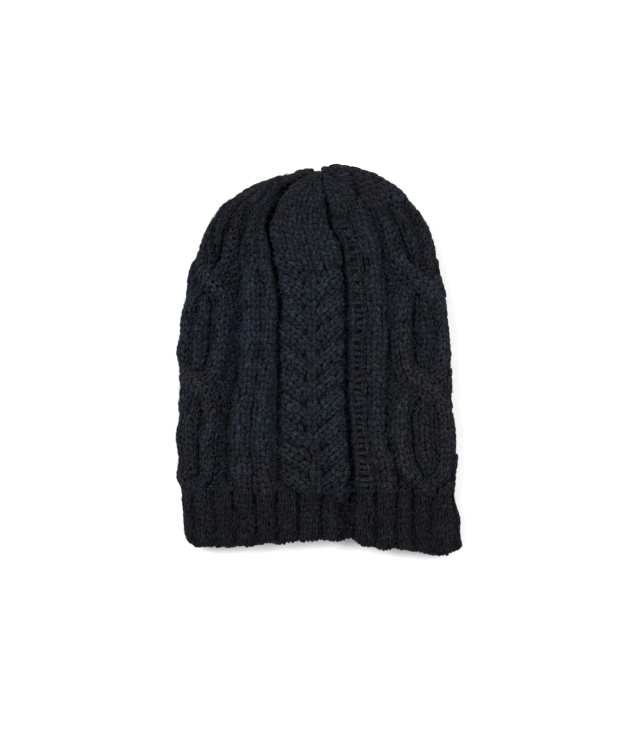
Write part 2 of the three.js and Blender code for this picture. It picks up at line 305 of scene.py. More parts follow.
def layer_point(x, row, side, wall):
    """Points of one layer: x across, a course's columns, side 1 for the front and -1 for the under layer."""
    middle, half = row["middle"], row["half"]
    across = np.clip((x - middle) / half, -1, 1)
    rounded = np.sqrt(np.clip(1 - np.abs(across) ** FLATNESS, 0, 1))
    lift = np.where(across < 0, row["lift_left"], row["lift_right"])
    fade = ramp(BRIM_TOP_Y - row["y"], BRIM_TOP_Y - HEM_Y)
    drop = np.interp(across, *zip(*HEM_DROP))
    y = row["y"] + lift * across ** 2 - drop * fade
    fold = row["under"] + FOLD_HEIGHT * (row["top"] - row["under"])
    px = middle + (x - middle) * (half - wall) / half
    if side > 0:
        sink = np.zeros_like(x)
        for line, depth in (("gutter_left", "sink_left"), ("gutter_right", "sink_right")):
            width = SINK_WIDTH + SINK_SPREAD * row[depth]
            sink = np.maximum(sink, row[depth] * np.exp(-(((x - row[line]) / width) ** 2)))
        dent = np.maximum(crease_depth(x, y), sink)
        z = fold + (row["top"] - fold - wall - dent) * rounded
    else:
        z = fold - (fold - row["under"] - wall) * np.minimum(1, rounded / FLOOR_CONTACT)
    return columns(px, y, z)


# A place on the knitting is (w, v): w runs round the hat through the stations, 0 at the left fold, 5 at the
# right fold, 5 to 10 back along the under layer, and v is the height of its course up the middle.
ACROSS, ROUND = 5, 10
PER_STATION = 64


def unit(vectors):
    return vectors / (np.linalg.norm(vectors, axis=-1, keepdims=True) + 1e-9)


class Surface:
    """A grid of courses by places round them: points, outward normals, and millimetres per w and per v."""

    def __init__(self, wall):
        turn = np.linspace(-math.pi / 2, math.pi / 2, 301)
        grid = np.zeros((len(HEIGHTS), ROUND * PER_STATION, 3))
        for k in range(len(HEIGHTS)):
            row = {name: column[k] for name, column in ROWS.items()}
            x = row["middle"] + row["half"] * np.sin(turn)
            for side in (1, -1):
                line = layer_point(x, row, side, wall)
                length = np.concatenate([[0], np.cumsum(np.linalg.norm(np.diff(line, axis=0), axis=1))])
                marks = np.interp([row[name] for name in STATIONS], x, length)
                w = np.arange(ACROSS * PER_STATION + 1) / PER_STATION
                at = np.interp(w, np.arange(len(STATIONS)), marks)
                points = columns(*(np.interp(at, length, values) for values in line.T))
                if side > 0:
                    grid[k, :ACROSS * PER_STATION] = points[:-1]
                else:
                    grid[k, ACROSS * PER_STATION:] = points[::-1][:-1]
        self.points = grid
        self.measure()
        self.swell()
        self.measure()

    def measure(self):
        along = (np.roll(self.points, -1, axis=1) - np.roll(self.points, 1, axis=1)) * PER_STATION / 2
        up = np.gradient(self.points, HEIGHT_STEP, axis=0)
        self.normals = unit(np.cross(along, up))
        self.stretch = np.linalg.norm(along, axis=-1)
        self.rise = np.linalg.norm(up, axis=-1)
        self.sideways = unit(along)
        self.upward = unit(up)

    def swell(self):
        w, v = np.meshgrid(np.arange(ROUND * PER_STATION) / PER_STATION, HEIGHTS)
        fade = ramp(GATHER_Y - v, SWELL_END)[..., None]
        for waves, length, phase, outward, sideways, up in SWELLS:
            turn = 2 * math.pi * (waves * w / ROUND + v / length) + phase
            self.points = self.points + fade * (
                outward * np.sin(turn)[..., None] * self.normals
                + sideways * np.cos(turn + 1.7)[..., None] * self.sideways
                + up * np.cos(turn + 0.6)[..., None] * self.upward)


def look_up(table, w, v):
    """A grid's values at places (w, v), between its points."""
    row = np.clip((v - HEM_Y) / HEIGHT_STEP, 0, len(HEIGHTS) - 1.001)
    col = np.mod(w, ROUND) * PER_STATION
    r0, c0 = row.astype(int), col.astype(int)
    fr, fc = row - r0, col - c0
    c0 = c0 % (ROUND * PER_STATION)
    c1 = (c0 + 1) % (ROUND * PER_STATION)
    if table.ndim == 3:
        fr, fc = fr[..., None], fc[..., None]
    low = table[r0, c0] * (1 - fc) + table[r0, c1] * fc
    high = table[r0 + 1, c0] * (1 - fc) + table[r0 + 1, c1] * fc
    return low * (1 - fr) + high * fr


OUTER = Surface(0.0)
INNER = Surface(WALL)

# Rows are counted from the top of the brim, and their spacing is the mean round the course, so that the
# rows near the gather stay a row's height apart.
_steps = np.linalg.norm(np.diff(OUTER.points, axis=0), axis=-1).mean(axis=1)
_risen = np.concatenate([[0], np.cumsum(_steps)])
_risen -= np.interp(BRIM_TOP_Y, HEIGHTS, _risen)
BRIM_ROW = -_risen[0] / BRIM_ROWS
BODY = np.arange(0, _risen[-1] / ROW - 0.2)


def height_of(row):
    """The height up the middle of a row counted from the top of the brim. Brim rows are negative."""
    risen = np.where(row < 0, row * BRIM_ROW, row * ROW)
    below = np.minimum(risen - _risen[0], 0)
    return np.interp(risen, _risen, HEIGHTS) + below


def groove_depth(w, v):
    """How much deeper than the solid's face the cloth is in the grooves between the panels."""
    depth = np.zeros_like(w)
    stretch = look_up(OUTER.stretch, w, v)
    place = np.minimum(np.mod(w, ROUND), ROUND - np.mod(w, ROUND))
    fade = ramp(v - BRIM_TOP_Y, BRIM_BLEND) * ramp(GATHER_Y - v, GROOVE_END)
    for station, depths in GROOVE_DEPTHS.items():
        left, right = (np.interp(v, GROOVE_HEIGHTS, reach) for reach in GROOVE_REACHES[station])
        away = (place - station) * stretch / np.where(place < station, left, right)
        profile = np.exp(-np.abs(away) ** np.where(left > SOFT_REACH, 2, 4))
        depth = np.maximum(depth, np.interp(v, GROOVE_HEIGHTS, depths) * fade * profile)
    return depth


def from_fold(w):
    """How many panels away the nearer side fold is."""
    return np.abs(np.mod(w + ACROSS / 2, ACROSS) - ACROSS / 2)


def near_fold(w, v):
    """1 on a side fold, falling to 0 away from it."""
    return np.exp(-((from_fold(w) * look_up(OUTER.stretch, w, v) / FOLD_REACH) ** 2))


def fold_inset(w, v):
    """How much further in than elsewhere the knitting sits near the side folds."""
    left, right = (np.interp(v, FOLD_HEIGHTS, insets) for insets in FOLD_INSETS)
    return np.where(np.abs(np.mod(w, ROUND) - ACROSS) < ACROSS / 2, right, left) * near_fold(w, v)


# Lobes of yarn. Each template row is across (in widths of the line), up (in stitches), out (in millimetres)
# and thickness (in leg radii).
KNIT_LEG = np.array([
    (-0.03, -0.05, -1.5, 0.64),
    (-0.14, 0.21, 0.2, 1.02),
    (-0.25, 0.50, 0.8, 1.16),
    (-0.33, 0.80, 0.3, 1.04),
    (-0.33, 1.09, -1.5, 0.64),
])
RIB_LEG = np.array([
    (-0.08, -0.10, -1.0, 0.72),
    (-0.16, 0.20, 0.2, 1.00),
    (-0.24, 0.50, 0.6, 1.10),
    (-0.30, 0.84, 0.2, 1.00),
    (-0.30, 1.12, -1.0, 0.70),
])
PURL_BUMP = np.array([
    (-0.46, 0.16, -1.6, 0.60),
    (-0.25, 0.44, 0.3, 1.05),
    (0.00, 0.54, 0.8, 1.20),
    (0.25, 0.44, 0.3, 1.05),
    (0.46, 0.16, -1.6, 0.60),
])


def flip(template):
    return template * np.array([-1, 1, 1, 1])


class Yarn:
    """Gathers lobes and makes one mesh of them."""

    def __init__(self, back=False, surface=OUTER, inward=False, shade=1.0):
        self.back, self.surface, self.inward, self.shade = back, surface, inward, shade
        self.paths, self.normals, self.radii, self.shades = [], [], [], []

    def add(self, starts, template, line, lane=0.0, scale=1.0, roundness=0.0, tilt=0.0):
        """Lobes that start at the given stitches of a line, lane times its width beside it.

        line(s) gives w, v, width and height at a stitch. roundness and tilt change the height across it.
        """
        starts = np.asarray(starts, float)
        if not len(starts):
            return
        surface = self.surface
        wobble = rng.normal(0, 1, (5, len(starts), 1))
        s = starts[:, None] + template[:, 1] + SLIP * wobble[0]
        w, v, width, out = line(s)
        w_next, v_next, _, _ = line(s + LOOK_AHEAD)
        turned = ROUND - w if self.back else w
        stretch, rise = look_up(surface.stretch, turned, v), look_up(surface.rise, turned, v)
        ahead_w, ahead_v = (w_next - w) * stretch, (v_next - v) * rise
        length = np.hypot(ahead_w, ahead_v) + 1e-9
        across = template[:, 0] * (1 + WIDENING * wobble[1]) + lane + SHIFT * wobble[2]
        w = w + across * width * ahead_v / length / stretch
        v = v - across * width * ahead_w / length / rise
        turned = ROUND - w if self.back else w
        points = look_up(surface.points, turned, v)
        points[..., 1] += np.minimum(v - HEM_Y, 0)
        normals = look_up(surface.normals, turned, v) * (-1 if self.inward else 1)
        thick = np.clip(LEG_SHARE * width.mean(axis=1, keepdims=True), THINNEST, THICKEST)
        thick = thick * scale * (1 + THICKENING * wobble[3])
        lift = out + template[:, 2] - roundness * across ** 2 + tilt * across + LIFTING * wobble[4]
        crease_shade_depth = 0.0
        if not self.inward:
            calm = FOLD_CALM * near_fold(turned, v)
            groove = groove_depth(turned, v)
            lift = lift * (1 - calm) - fold_inset(turned, v) - GROOVE_YARN * groove
            thick = thick * (1 - calm * (1 - 1 / template[:, 3]))
            # Painted shade: yarn in creases and grooves is darkened as though it lay deeper by part of their
            # depth.
            crease = crease_depth(points[..., 0], points[..., 1]) * (normals[..., 2] > 0)
            crease_shade_depth = CREASE_SHADE * np.maximum(crease, groove)
        self.lay(points + normals * (lift - YARN_INSET)[..., None], normals, thick * template[:, 3],
                 lift - crease_shade_depth, np.interp(v, SHADE_HEIGHTS, SHADES))

    def lay(self, paths, normals, radii, lift=0.0, shade=1.0):
        """Lobes along paths of a few points each. lift is how far out they lie, and painted shade makes the
        deeper ones darker.
        """
        self.paths.append(paths)
        self.normals.append(normals)
        self.radii.append(radii)
        depth_shade_factor = np.clip(SHADE_AT_FACE + DEPTH_SHADE * lift, DARKEST, LIGHTEST)
        self.shades.append(self.shade * shade * depth_shade_factor + 0 * radii)

    def knit(self, starts, line, template=KNIT_LEG, **settings):
        self.add(starts, template, line, **settings)
        self.add(starts, flip(template), line, **settings)

    def mesh(self, name, material):
        parts = (np.concatenate(part) for part in (self.paths, self.normals, self.radii, self.shades))
        return lobes(name, *parts, material, LOBE_SIDES)


def ring_quads(rings, sides):
    """The quads between rings of points, as the ring of each corner and its place on it."""
    k, j = (part.ravel() for part in np.meshgrid(np.arange(rings - 1), np.arange(sides), indexing="ij"))
    return columns(k, k + 1, k + 1, k), columns(j, j, j + 1, j + 1)


def end_fans(rings, sides):
    """The triangles from the first and the last ring to a point each, which come after all the rings."""
    j = np.arange(sides)
    following = (j + 1) % sides
    last, point = (rings - 1) * sides, rings * sides
    return np.concatenate([columns(np.full(sides, point), j, following),
                           columns(np.full(sides, point + 1), last + following, last + j)])


def lobe_points(paths, normals, radii, sides):
    """The rings of points round each path, and the two tips."""
    tangent = unit(np.gradient(paths, axis=1))
    side = unit(np.cross(tangent, normals))
    out = np.cross(side, tangent)
    angle = (2 * math.pi * np.arange(sides) / sides)[:, None]
    ring = paths[:, :, None] + radii[:, :, None, None] * (
        np.cos(angle) * side[:, :, None] + np.sin(angle) * out[:, :, None])
    tips = np.stack([paths[:, 0] - tangent[:, 0] * radii[:, 0:1] * TIP_LENGTH,
                     paths[:, -1] + tangent[:, -1] * radii[:, -1:] * TIP_LENGTH], axis=1)
    return np.concatenate([ring.reshape(len(paths), -1, 3), tips], axis=1).reshape(-1, 3)


def lobe_faces(steps, sides):
    """One lobe's quads and the triangles round its tips, with each corner's place round and along it."""
    ring, place = ring_quads(steps, sides)
    quads = ring * sides + place % sides
    quad_uv = columns(place / sides, ring / (steps - 1))
    j = np.arange(sides)
    low_uv = columns(columns(j + 0.5, j, j + 1) / sides, np.zeros((sides, 3)))
    high_uv = columns(columns(j + 0.5, j + 1, j) / sides, np.ones((sides, 3)))
    return quads, quad_uv, end_fans(steps, sides), np.concatenate([low_uv, high_uv])


def lobe_shades_and_tones(shades, sides):
    """A stitch's painted shade, lightest along its crest and darkest where it goes under, with a random tone
    for each stitch.
    """
    count, steps = shades.shape
    angle = 2 * math.pi * np.arange(sides) / sides
    crest_shade = 1 - ROOT_SHADE * (1 - np.sin(angle)) / 2
    along = 1 - ROOT_SHADE * np.abs(np.linspace(-1, 1, steps)) ** 3
    round_shade = (shades[:, :, None] * along[:, None] * crest_shade).reshape(count, -1)
    tip_shade = shades[:, [0, -1]] * (1 - ROOT_SHADE)
    shade_and_tone = np.concatenate([round_shade, tip_shade], axis=1)
    return shade_and_tone * (1 + STITCH_CONTRAST * rng.uniform(-1, 1, (count, 1)))


def lobes(name, paths, normals, radii, shades, material, sides):
    """Closed lobes along paths of a few points each, as one mesh."""
    count, steps = radii.shape
    vertices = lobe_points(paths, normals, radii, sides)
    vertices[:, 2] = np.maximum(vertices[:, 2], LOWEST_YARN)
    quads, quad_uv, tris, tri_uv = lobe_faces(steps, sides)
    offset = (np.arange(count) * (steps * sides + 2))[:, None, None]
    uv = np.concatenate([np.tile(part.reshape(-1, 2), (count, 1)) for part in (quad_uv, tri_uv)])
    return make_mesh(name, vertices, (quads + offset).reshape(-1, 4), (tris + offset).reshape(-1, 3),
                     material, uv, lobe_shades_and_tones(shades, sides))


def add_object(name, data):
    added = bpy.data.objects.new(name, data)
    bpy.context.scene.collection.objects.link(added)
    return added


def make_mesh(name, vertices, quads, tris, material, uv=None, shade_and_tone=None):
    mesh = bpy.data.meshes.new(name)
    mesh.vertices.add(len(vertices))
    mesh.vertices.foreach_set("co", (vertices * MM).astype(np.float32).ravel())
    corners = np.concatenate([quads.ravel(), tris.ravel()]).astype(np.int32)
    sizes = np.concatenate([np.full(len(quads), 4), np.full(len(tris), 3)]).astype(np.int32)
    mesh.loops.add(len(corners))
    mesh.loops.foreach_set("vertex_index", corners)
    mesh.polygons.add(len(sizes))
    mesh.polygons.foreach_set("loop_start", (np.cumsum(sizes) - sizes).astype(np.int32))
    mesh.polygons.foreach_set("use_smooth", np.ones(len(sizes), bool))
    if uv is not None:
        mesh.uv_layers.new(name="strand").uv.foreach_set("vector", uv.astype(np.float32).ravel())
    # The lobes' painted shade, times a random tone for each stitch, is stored on their points.
    if shade_and_tone is not None:
        values = shade_and_tone.ravel().astype(np.float32)
        mesh.attributes.new("shade_and_tone", "FLOAT", "POINT").data.foreach_set("value", values)
    mesh.update(calc_edges=True)
    mesh.validate()
    mesh.materials.append(material)
    return add_object(name, mesh)


EVEN_STEP = 0.1


def evened(line, low, high):
    """A line again, with its stitches a row's height apart along its slope, and their numbers."""
    s = np.arange(low, high, EVEN_STEP)
    w, v, _, _ = line(s)
    along = np.diff(w) * look_up(OUTER.stretch, w, v)[1:]
    up = np.diff(v) * look_up(OUTER.rise, w, v)[1:]
    stitch = np.concatenate([[0], np.cumsum(np.hypot(along, up))]) / ROW

    def even_line(number):
        return line(np.interp(number, stitch, s))
    return even_line, np.arange(0, stitch[-1] - 0.5)


def panel_line(panel, share, share_width, out=0.0):
    """A line of stitches up a panel. share, share_width and out are numbers or functions of the height."""
    def at(value, v):
        return value(v) if callable(value) else value + 0 * v

    def line(s):
        v = height_of(s)
        w = panel + at(share, v)
        raised = np.clip(np.minimum((v - BRIM_TOP_Y) / BRIM_FADE, (CROWN_START - v) / CROWN_FADE), 0.1, 1)
        return w, v, at(share_width, v) * look_up(OUTER.stretch, w, v), at(out, v) * raised
    return line


def below_crown(rows):
    return rows[height_of(rows) < CROWN_START - 2]


# The oval cables

def strand_place(v, first):
    """Which side of its oval a strand is on, -1 to 1, and how near it is to a crossing, 0 to 1."""
    wave = np.sin(math.pi * (v - OVAL_CROSSING) / OVAL_LENGTH) * (1 if first else -1)
    return np.tanh(STRAND_TURN * wave) / math.tanh(STRAND_TURN), np.exp(-((wave / CROSSING_REACH) ** 2))


def oval_centre(panel, v):
    return np.interp(v, OVAL_HEIGHTS, OVAL_CENTRES[panel])


def strand_share(panel, first):
    def share(v):
        return oval_centre(panel, v) + OVAL_SPREAD * strand_place(v, first)[0]
    return share


def strand_height(first):
    def height(v):
        falling = np.cos(math.pi * (v - OVAL_CROSSING) / OVAL_LENGTH) * (1 if first else -1) < 0
        return STRAND_LIFT + strand_place(v, first)[1] * np.where(falling, OVER, UNDER)
    return height


def is_open(panel, share, v):
    """Where neither strand of an oval cable covers a share of its panel."""
    clear = STRAND_WIDTH * 1.5 + STRAND_CLEARANCE
    return np.all([np.abs(share - strand_share(panel, first)(v)) > clear for first in (True, False)], axis=0)


def oval_cable(panel, back):
    """Two strands of three lines each, which bow apart and cross, with a lower pair of lines between them."""
    yarn = Yarn(back)
    rows = below_crown(BODY)
    for first in (True, False):
        line = panel_line(panel, strand_share(panel, first), STRAND_WIDTH, strand_height(first))
        line, stitches = evened(line, rows[0] - 0.3, rows[-1] + 1.2)
        for lane in (-1, 0, 1):
            yarn.knit(stitches + 0.2 * lane, line, lane=lane, scale=1.08, roundness=2.6)

    fold, toward = (0, 1) if panel == 0 else (1, -1)

    def middle(v):
        return oval_centre(panel, v) - 0.018 * toward * (1 + 0.5 * np.sin(v / 7))

    def half_gap(v):
        return OVAL_SPREAD * np.abs(strand_place(v, True)[0]) - 1.5 * STRAND_WIDTH - 0.03
    apart = rows[half_gap(height_of(rows + 0.5)) > 0.03]
    for lane in (-0.5, 0.5):
        yarn.knit(apart, panel_line(panel, middle, half_gap, 0.0), lane=lane, roundness=3.0)
    for step in FOLD_SHARES:
        share = fold + toward * step
        free = rows[is_open(panel, share, height_of(rows + 0.5))]
        yarn.knit(free, panel_line(panel, share, 0.125, -0.3))
    return yarn


def purl_ground(back):
    """Bumps of purl stitches in the grooves, and beside the ovals where their strands come together."""
    yarn = Yarn(back)
    rows = below_crown(BODY)
    for panel, shares in PURL_SHARES.items():
        for share in shares:
            for half in (0.0, 0.5):
                place = share + (half - 0.25) * PURL_PITCH
                free = (rows + half)[is_open(panel, place, height_of(rows + half + 0.5))]
                yarn.add(free, PURL_BUMP, panel_line(panel, place, 0.085, PURL_LIFT), scale=1.15)
    for panel, share in GROOVE_LINES:
        for half in (0.0, 0.5):
            yarn.add(rows + half, PURL_BUMP, panel_line(panel, share, 0.11, PURL_LIFT), scale=0.9)
    return yarn


def rib_beside(panel, low, high, width, out):
    """A line up the middle of one of the ribs beside the middle cable; width is a share of the rib."""
    def side(v, number):
        return np.interp(v, RIB_HEIGHTS, (LEFT_RIBS if panel == 1 else RIGHT_RIBS)[number])

    def middle(v):
        return (side(v, low) + side(v, high)) / 2

    def share_width(v):
        return width * (side(v, high) - side(v, low))
    return panel_line(panel, middle, share_width, out)


def rib_pair(panel, back):
    """Two ribs of two lines each on the left; on the right the one next to the middle cable is a ladder."""
    yarn = Yarn(back)
    rows = below_crown(BODY)
    for low, high in ((0, 1), (1, 2)):
        if panel == 3 and low == 0:
            edge = rib_beside(panel, low, high, 0.26, RIB_LIFT)
            for lane in (-LADDER_EDGE, LADDER_EDGE):
                yarn.knit(rows, edge, lane=lane, scale=1.15, roundness=0.8)
            slipped = np.where(height_of(rows) > LADDER_CHANGE, RUNG_SLIP * (-1) ** rows, 0)
            yarn.add(rows + slipped, PURL_BUMP, rib_beside(panel, low, high, 0.62, 0.4), scale=0.64)
            continue
        line = rib_beside(panel, low, high, 0.46, RIB_LIFT)
        for lane in (-0.5, 0.5):
            yarn.knit(rows, line, lane=lane, scale=1.08, roundness=4.0)
    return yarn


def leaf_line(hand, number):
    root, climb, bend, stitches = LEAVES[hand]

    def line(s):
        t = s / stitches
        w = 2 + LEAF_MIDDLE + hand * (LEAF_REACH[0] + (LEAF_REACH[1] - LEAF_REACH[0]) * t)
        v = root - number * LEAF_PITCH + climb * (t * (1 + bend) - bend * t ** 2)
        out = LEAF_ROOT + LEAF_CREST * np.sin(math.pi * np.clip(t, 0.02, 0.98)) ** 0.6
        return w, v, LEAF_WIDTH + 0 * t, out
    return line


def leaf_cable(back):
    """Leaves of two lines that climb outward from the middle, with plain lines above them and between."""
    yarn = Yarn(back)
    for hand, (_, _, _, stitches) in LEAVES.items():
        for number in range(LEAF_COUNT):
            line = leaf_line(hand, number)
            starts = np.arange(0, stitches - 0.3)
            starts = starts[line(starts)[1] > BRIM_TOP_Y - 3]
            for lane in (-0.5, 0.5):
                yarn.knit(starts, line, lane=lane, roundness=2.4, tilt=-hand * 0.8)
    rows = below_crown(BODY)
    yarn.knit(rows, panel_line(2, LEAF_MIDDLE, PLAIN_WIDTH, 0.0))
    for share in PLAIN_SHARES:
        root, climb, _, _ = LEAVES[-1 if share < LEAF_MIDDLE else 1]
        start = root + LEAF_PITCH / 2 - 4 + 2 * climb * abs(share - LEAF_MIDDLE)

        def out(v, start=start):
            return 0.5 - 2.4 * np.exp(-np.maximum(v - start, 0) / 5)
        yarn.knit(rows[height_of(rows) > start], panel_line(2, share, PLAIN_WIDTH, out))
    return yarn


def crown_courses():
    """Plain courses above the panels, with fewer stitches in each as they near the gather."""
    yarn = Yarn()
    for row in BODY[height_of(BODY) >= CROWN_START - 2]:
        v = height_of(row)
        for panel in range(ROUND):
            width = float(look_up(OUTER.stretch, np.array(panel + 0.5), v))
            if width < NARROWEST_PANEL:
                continue
            count = max(1, round(width / CROWN_LINE_WIDTH))
            for share in (np.arange(count) + 0.5) / count:
                yarn.knit([row], panel_line(panel, share, 1 / count, 0.3), scale=1.05)
    return yarn


# The brim

def valley_places(surface):
    """Places round the hat of the brim's valleys, at each of the brim's heights."""
    heights = HEIGHTS[HEIGHTS <= BRIM_TOP_Y + 1]
    half = ACROSS * PER_STATION
    w = np.arange(half + 1) / PER_STATION
    places = []
    for k, v in enumerate(heights):
        t = (v - HEM_Y) / (BRIM_TOP_Y - HEM_Y)
        x = np.array([hem + (top - hem) * t for top, hem in VALLEYS])
        line = surface.points[k, :, 0]
        under = np.concatenate([line[half:], line[:1]])[::-1]
        front = np.interp(x, line[:half + 1], w)
        back = ROUND - np.interp(x, under, w)
        places.append(np.concatenate([front, back[::-1], front[:1] + ROUND]))
    return heights, np.array(places)


def valley_depth(w, v):
    """How much deeper than the solid's face the cloth is in the brim's valleys."""
    depth = np.zeros_like(w)
    heights, valleys = valley_places(OUTER)
    for valley in valleys.T:
        away = (w - np.interp(v, heights, valley)) * look_up(OUTER.stretch, w, v) / VALLEY_WIDTH
        depth = np.maximum(depth, VALLEY_DEPTH * np.exp(-(away ** 2)))
    return depth * ramp(BRIM_TOP_Y + BRIM_BLEND - v, BRIM_BLEND) * (1 - FOLD_CALM * near_fold(w, v))


def rib_line(heights, places, rib, lines, out, surface):
    def line(s):
        v = height_of(s)
        low, high = np.interp(v, heights, places[:, rib]), np.interp(v, heights, places[:, rib + 1])
        w = (low + high) / 2
        width = (high - low) * look_up(surface.stretch, w, v)
        lift = out if surface is INNER else out + np.interp(v, BRIM_HEIGHTS, BRIM_LIFTS)
        return w, v, np.maximum(width - VALLEY_WIDTH, 2) / lines, lift + 0 * v
    return line


def brim_ribs(surface, inward):
    """Ribs of two or three lines each, from the hem to the top of the brim, on the outside or the inside."""
    # The inside's ribs get a painted shade.
    yarn = Yarn(surface=surface, inward=inward, shade=INSIDE_SHADE if inward else 1.0)
    rows = np.arange(-BRIM_ROWS + BRIM_START, 0.2)
    heights, places = valley_places(surface)
    if inward:
        places = (places[:, :-1] + places[:, 1:]) / 2
        places = np.concatenate([places, places[:, :1] + ROUND], axis=1)
    for rib in range(places.shape[1] - 1):
        low, high = places[0, rib], places[0, rib + 1]
        stretch = float(look_up(surface.stretch, (low + high) / 2, np.array(HEM_Y)))
        narrow = (high - low) * stretch < NARROW_RIB
        lines = 1 if narrow else 2 if inward else 3
        out = INSIDE_LIFT if inward else NARROW_LIFT if narrow else 0.0
        line = rib_line(heights, places, rib, lines, out, surface)
        for lane in np.arange(lines) - (lines - 1) / 2:
            shifted = rows + rng.uniform(0, ROW_SHIFT)
            yarn.knit(shifted, line, RIB_LEG, lane=lane, roundness=RIB_ROUNDNESS / lines ** 2)
    return yarn


def hem_edge():
    """The cast-on edge: loops that wrap the wall's lower edge, one beside another round the mouth."""
    yarn = Yarn(shade=SHADES[0])
    w = (np.arange(HEM_LOOPS) + 0.5)[:, None] * ROUND / HEM_LOOPS
    wobble = rng.normal(0, 1, (3, HEM_LOOPS, 1))
    turn = np.linspace(-0.5, 0.5, 5) * math.pi
    places = w + ROUND / HEM_LOOPS * (0.5 * turn / math.pi + 0.08 * wobble[0])
    foot = HEM_Y + 0 * places
    points, normals = look_up(OUTER.points, places, foot), look_up(OUTER.normals, places, foot + 2)
    points[..., 1] += HEM_RISE - HEM_SAG * np.cos(turn) + 0.25 * wobble[1]
    depth = WALL / 2 + (WALL / 2 - HEM_RADIUS) * np.sin(turn) + np.maximum(fold_inset(places, foot), 0)
    depth = depth + HEM_WAVE * valley_depth(places, foot)
    outward = normals * np.cos(turn)[:, None] * 0.5 + np.array((0, -1, 0)) * np.cos(turn)[:, None]
    outward = unit(outward + normals * -np.sin(turn)[:, None])
    radii = HEM_RADIUS * (1 + 0.08 * wobble[2]) * np.array([0.8, 1.0, 1.08, 1.0, 0.8])
    yarn.lay(points - normals * depth[..., None], outward, radii, HEM_LIFT)
    return yarn


def gather():
    """The stitches drawn together where the crown closes."""
    yarn = Yarn()
    count = 16
    turn = (np.arange(count) + 0.5) * 2 * math.pi / count
    middle = np.array((-0.6, 137.6, 12.5))
    reach = np.array((0.6, 2.2, 4.4, 6.4, 8.0))
    out = columns(np.cos(turn) * 1.1, -0.42 - 0.25 * np.abs(np.cos(turn)), np.sin(turn) * 0.9)
    paths = middle + out[:, None, :] * reach[None, :, None]
    paths[..., 1] += np.array((0.5, 1.2, 1.2, 0.6, -0.6))
    normals = unit(columns(np.cos(turn), 1.4 + 0 * turn, np.sin(turn)))
    radii = 1.5 * np.ones((count, 1)) * np.array([0.7, 1.0, 1.1, 1.0, 0.6])
    yarn.lay(paths, np.repeat(normals[:, None], len(reach), axis=1), radii)
    return yarn


def ground_depth(w, v):
    """How far below the solid's face the cloth behind the stitches lies, apart from its hollows."""
    depth = SHELL_DEPTH - CROWN_SHALLOWER * ramp(v - 100, 10)
    return fold_inset(w, v) + depth * (1 - FOLD_SHALLOWER * near_fold(w, v))


def ground_hollow(w, v):
    """How much deeper it lies in the grooves, behind the oval cables and in the brim's valleys."""
    ovals = ramp(1 - from_fold(w), 0.1) * np.clip(from_fold(w) / 0.4 - 0.25, 0, 1)
    fade = OVAL_HOLLOW * ramp(v - BRIM_TOP_Y, BRIM_BLEND) * ramp(GATHER_Y - v, 30)
    return np.maximum(groove_depth(w, v) + fade * ovals, valley_depth(w, v))


def knitted_ground(material):
    """The cloth behind the stitches: a closed wall from the hem to the gather."""
    heights = np.concatenate([np.arange(HEM_Y + 2.0, 127, 3.0), [128.5, 131, 133.5, 135.5]])
    inner_heights = heights[heights < INSIDE_TOP]
    places = np.arange(0, ROUND, 1 / 32)
    w, v = np.meshgrid(places, heights)
    hollow = ground_hollow(w, v)
    depth = ground_depth(w, v) + hollow
    outer = look_up(OUTER.points, w, v) - look_up(OUTER.normals, w, v) * depth[..., None]
    rows, count = len(inner_heights), len(places)
    w, v = w[:rows], v[:rows]
    inner = look_up(INNER.points, w, v) - look_up(INNER.normals, w, v) * hollow[:rows, :, None]
    inner[..., 1] -= INSIDE_DROP * ramp(v - 80, 38)
    loops = INSIDE_WAVE * np.sin(2 * math.pi * 6 * w) * np.sin(2 * math.pi * v / (2 * ROW))
    inner -= look_up(INNER.normals, w, v) * loops[..., None]
    vertices = np.concatenate([inner[::-1].reshape(-1, 3), outer.reshape(-1, 3),
                               inner[-1].mean(axis=0)[None], outer[-1].mean(axis=0)[None]])
    vertices[:, 2] = np.maximum(vertices[:, 2], LOWEST_GROUND)
    total = rows + len(heights)
    ring, place = ring_quads(total, count)
    # The corners are taken the other way round, so that the wall faces outward.
    quads = (ring * count + place % count)[:, [0, 3, 2, 1]]
    return make_mesh("knitted_ground", vertices, quads, end_fans(total, count)[:, [0, 2, 1]], material)


def fibres(material):
    """Loose hairs of the yarn that stand off the stitches."""
    count, steps = HAIRS, HAIR_POINTS
    in_front = rng.random(count) < FRONT_HAIRS
    w = np.where(in_front, rng.random(count) * ACROSS, ACROSS + rng.random(count) * ACROSS)
    v = HEM_Y + 4 + (GATHER_Y - 8 - HEM_Y) * rng.random(count)
    heading = rng.random(count) * 2 * math.pi
    curl = rng.normal(0, 0.7, count)
    length = rng.uniform(1.5, 4.5, count)
    climb = rng.uniform(0.05, 0.55, count)
    normal, side, up = (look_up(table, w, v) for table in (OUTER.normals, OUTER.sideways, OUTER.upward))
    here = look_up(OUTER.points, w, v) - normal * rng.uniform(0.6, 1.8, count)[:, None]
    paths = np.zeros((count, steps, 3))
    for k in range(steps):
        paths[:, k] = here
        turn = heading + curl * k
        along = np.cos(turn)[:, None] * side + np.sin(turn)[:, None] * up
        here = here + (along + climb[:, None] * (1 - 0.5 * k) * normal) * (length / (steps - 1))[:, None]
    normals = np.repeat(normal[:, None], steps, axis=1)
    radii = np.full((count, 1), HAIR_RADIUS) * np.array((1.0, 0.9, 0.5))
    return lobes("loose_fibres", paths, normals, radii, 1 + 0 * radii, material, 3)


def new_node(tree, kind, inputs=(), **settings):
    """A node whose inputs are given as values or as other nodes' outputs."""
    node = tree.nodes.new("ShaderNode" + kind)
    for key, value in settings.items():
        setattr(node, key, value)
    for key, value in dict(inputs).items():
        if isinstance(value, bpy.types.NodeSocket):
            tree.links.new(value, node.inputs[key])
        else:
            node.inputs[key].default_value = value
    return node


def noise(tree, place, scale, detail, roughness):
    node = new_node(tree, "TexNoise", {
        "Vector": place, "Scale": scale, "Detail": detail, "Roughness": roughness})
    return node.outputs["Fac"]


